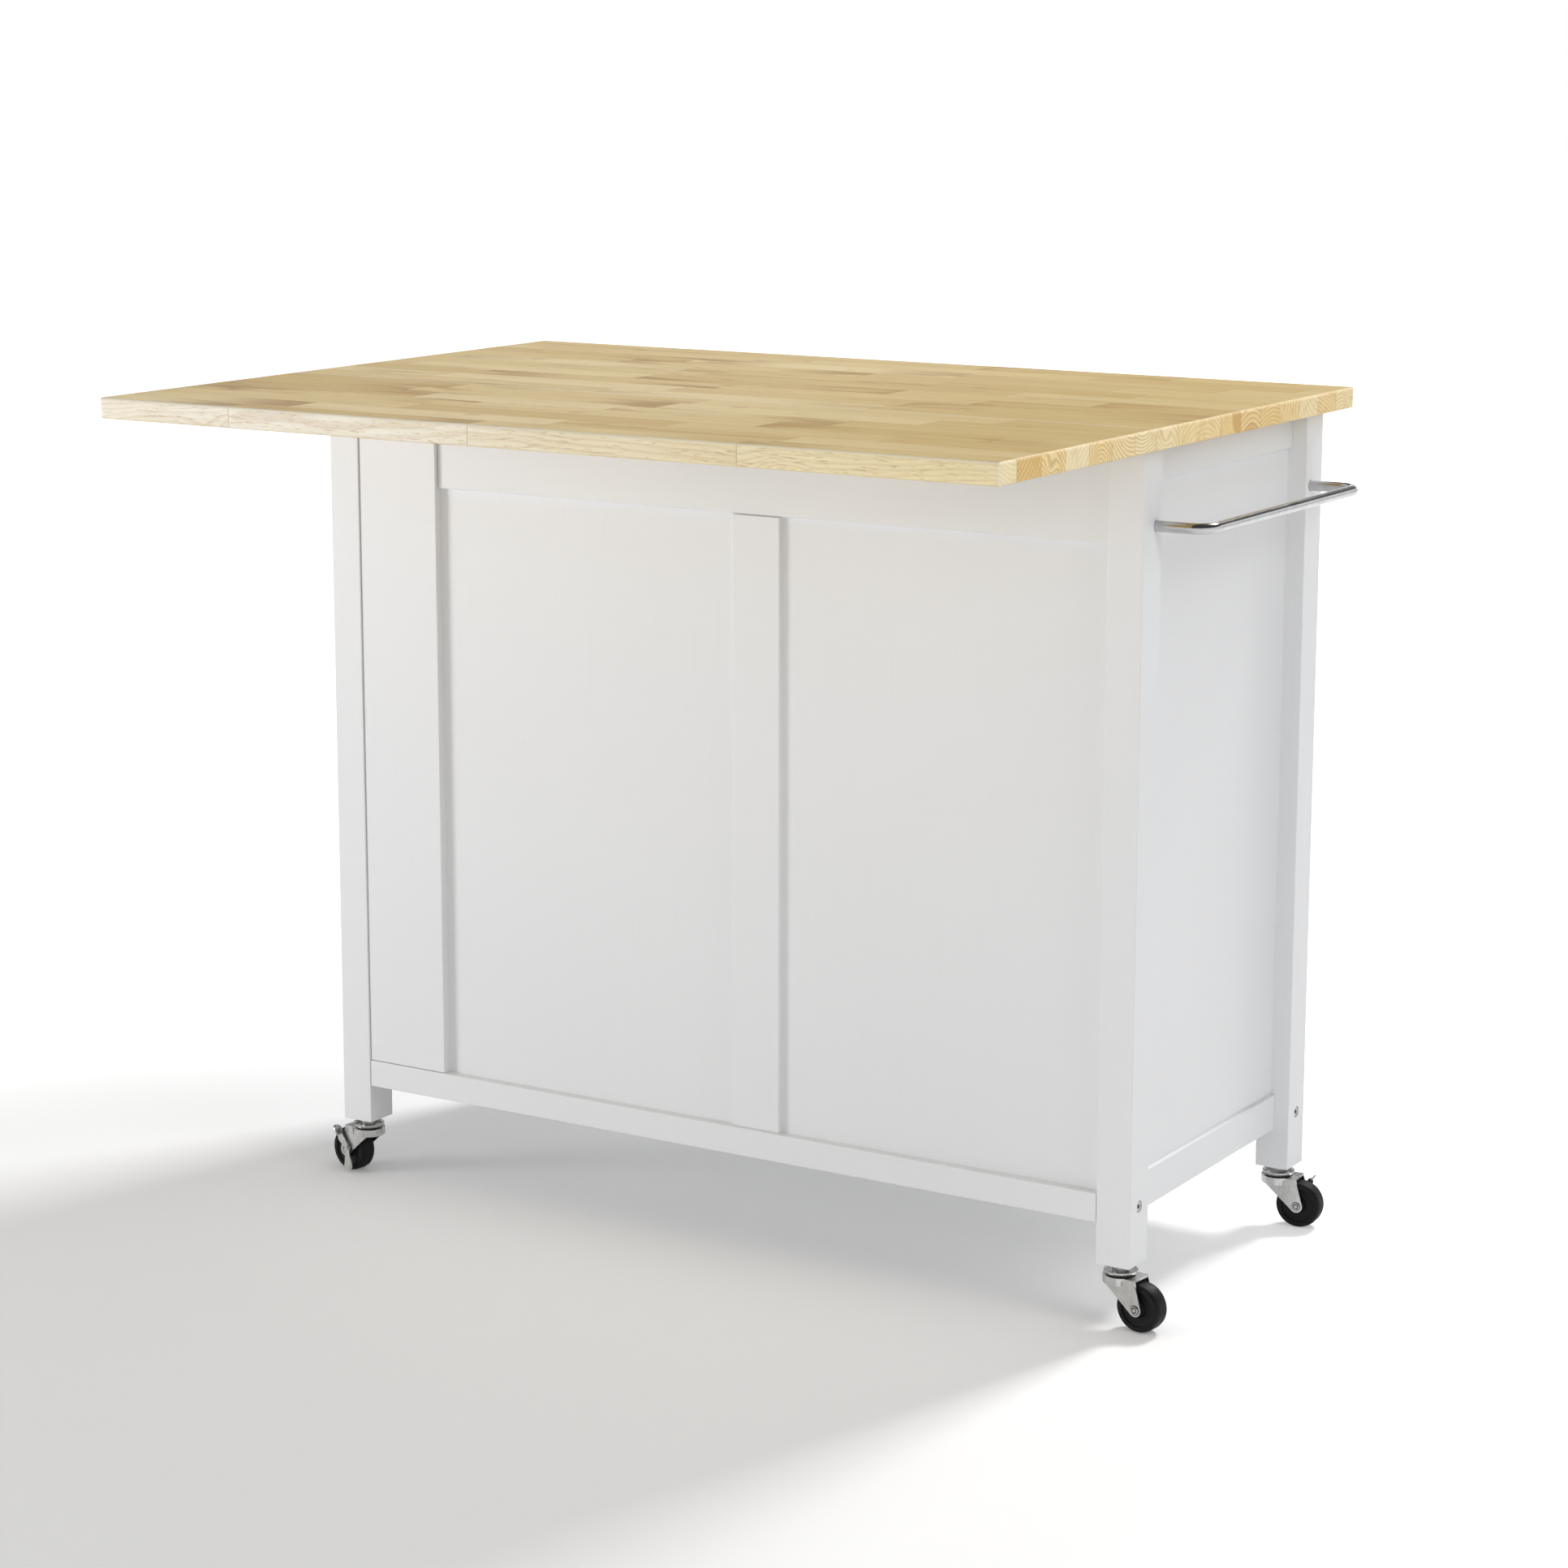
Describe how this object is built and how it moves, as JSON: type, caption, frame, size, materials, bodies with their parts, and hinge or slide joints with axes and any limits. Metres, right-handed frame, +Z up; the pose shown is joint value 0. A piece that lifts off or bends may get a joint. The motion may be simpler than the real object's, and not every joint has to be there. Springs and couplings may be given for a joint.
{
  "type": "drop leaf kitchen island",
  "caption": "Kitchen island on casters with a butcher-block top, a drop leaf, drawers over doors, an open end rack and a towel bar.",
  "frame": {"origin": "on the floor, under the centre of the overall box with the leaf up", "axes": "+X along the length from the towel bar end to the rack end, +Y from the door side to the free edge of the leaf, +Z up"},
  "size_m": [1.0811, 0.7898, 0.914],
  "materials": {
    "butcher_block": "satin-lacquered laminated hardwood strips",
    "white_paint": "satin white paint on wood",
    "bare_wood": "clear-coated light wood",
    "bracket_steel": "zinc-plated pressed steel",
    "polished_steel": "polished stainless steel",
    "nickel": "satin nickel plating",
    "zinc_steel": "bright zinc-plated pressed steel",
    "wheel_black": "hard black rubber"
  },
  "bodies": {
    "cabinet": {"worktop": "butcher_block", "leaf_brackets": "bracket_steel", "leaf_pivot_pins": "zinc_steel", "front_left_leg": "white_paint", "front_right_leg": "white_paint", "back_left_leg": "white_paint", "back_right_leg": "white_paint", "back_top_rail": "white_paint", "back_bottom_rail": "white_paint", "back_wide_board": "white_paint", "back_centre_stile": "white_paint", "back_panel_left": "white_paint", "back_panel_right": "white_paint", "end_panel": "white_paint", "end_top_rails": "white_paint", "end_bottom_rails": "white_paint", "front_top_rail": "white_paint", "front_bottom_rail": "white_paint", "front_wide_board": "white_paint", "front_centre_stile": "white_paint", "cabinet_floor": "white_paint", "centre_partition": "white_paint", "end_partition": "white_paint", "rack_lower_shelf": "white_paint", "rack_upper_shelf": "white_paint", "left_shelf": "white_paint", "right_shelf": "white_paint", "shelf_pins": "zinc_steel", "drawer_runners": "bare_wood", "door_hinge_plates": "zinc_steel", "towel_bar": "polished_steel", "leg_bolts": "zinc_steel", "caster_cups": "zinc_steel"},
    "leaf": {"drop_leaf": "butcher_block", "leaf_arms": "bracket_steel"},
    "left_drawer": {"left_drawer_front": "white_paint", "left_drawer_box": "bare_wood", "left_drawer_knob": "nickel"},
    "right_drawer": {"right_drawer_front": "white_paint", "right_drawer_box": "bare_wood", "right_drawer_knob": "nickel"},
    "left_door": {"left_door_frame": "white_paint", "left_door_panel": "white_paint", "left_door_knob": "nickel", "left_door_hinge_flaps": "zinc_steel"},
    "right_door": {"right_door_frame": "white_paint", "right_door_panel": "white_paint", "right_door_knob": "nickel", "right_door_hinge_flaps": "zinc_steel"},
    "front_left_swivel": {"front_left_fork": "zinc_steel"},
    "front_left_roller": {"front_left_wheel": "wheel_black"},
    "front_right_swivel": {"front_right_fork": "zinc_steel"},
    "front_right_roller": {"front_right_wheel": "wheel_black"},
    "back_left_swivel": {"back_left_fork": "zinc_steel"},
    "back_left_roller": {"back_left_wheel": "wheel_black"},
    "back_right_swivel": {"back_right_fork": "zinc_steel"},
    "back_right_roller": {"back_right_wheel": "wheel_black"},
    "front_left_lever": {"front_left_brake": "zinc_steel"},
    "back_right_lever": {"back_right_brake": "zinc_steel"}
  },
  "joints": [
    {"name": "leaf_hinge", "type": "hinge", "parent": "cabinet", "child": "leaf", "pos_m": [0.01395, 0.0811, 0.883], "axis": [1, 0, 0], "range_deg": [-90, 0]},
    {"name": "left_drawer_slide", "type": "slide", "parent": "cabinet", "child": "left_drawer", "axis": [0, -1, 0], "range_m": [0, 0.28]},
    {"name": "right_drawer_slide", "type": "slide", "parent": "cabinet", "child": "right_drawer", "axis": [0, -1, 0], "range_m": [0, 0.28]},
    {"name": "left_door_hinge", "type": "hinge", "parent": "cabinet", "child": "left_door", "pos_m": [-0.4418, -0.3734, 0.44], "axis": [0, 0, -1], "range_deg": [0, 105]},
    {"name": "right_door_hinge", "type": "hinge", "parent": "cabinet", "child": "right_door", "pos_m": [0.3667, -0.3734, 0.44], "axis": [0, 0, 1], "range_deg": [0, 105]},
    {"name": "front_left_swivel_turn", "type": "hinge", "parent": "cabinet", "child": "front_left_swivel", "pos_m": [-0.46205, -0.3499, 0.055], "axis": [0, 0, 1], "continuous": true},
    {"name": "front_left_wheel_spin", "type": "hinge", "parent": "front_left_swivel", "child": "front_left_roller", "pos_m": [-0.48745, -0.35212, 0.025], "axis": [0.0872, -0.9962, 0], "continuous": true},
    {"name": "front_left_brake_press", "type": "hinge", "parent": "front_left_swivel", "child": "front_left_lever", "pos_m": [-0.48048, -0.35151, 0.0295], "axis": [0.0872, -0.9962, 0], "range_deg": [0, 12]},
    {"name": "front_right_swivel_turn", "type": "hinge", "parent": "cabinet", "child": "front_right_swivel", "pos_m": [0.48995, -0.3499, 0.055], "axis": [0, 0, 1], "continuous": true},
    {"name": "front_right_wheel_spin", "type": "hinge", "parent": "front_right_swivel", "child": "front_right_roller", "pos_m": [0.51506, -0.34547, 0.025], "axis": [-0.1736, 0.9848, 0], "continuous": true},
    {"name": "back_left_swivel_turn", "type": "hinge", "parent": "cabinet", "child": "back_left_swivel", "pos_m": [-0.46205, 0.0341, 0.055], "axis": [0, 0, 1], "continuous": true},
    {"name": "back_left_wheel_spin", "type": "hinge", "parent": "back_left_swivel", "child": "back_left_roller", "pos_m": [-0.48741, 0.03676, 0.025], "axis": [-0.1045, -0.9945, 0], "continuous": true},
    {"name": "back_right_swivel_turn", "type": "hinge", "parent": "cabinet", "child": "back_right_swivel", "pos_m": [0.48995, 0.0341, 0.055], "axis": [0, 0, 1], "continuous": true},
    {"name": "back_right_wheel_spin", "type": "hinge", "parent": "back_right_swivel", "child": "back_right_roller", "pos_m": [0.51506, 0.02967, 0.025], "axis": [0.1736, 0.9848, 0], "continuous": true},
    {"name": "back_right_brake_press", "type": "hinge", "parent": "back_right_swivel", "child": "back_right_lever", "pos_m": [0.50817, 0.03089, 0.0295], "axis": [0.1736, 0.9848, 0], "range_deg": [0, 12]}
  ]
}
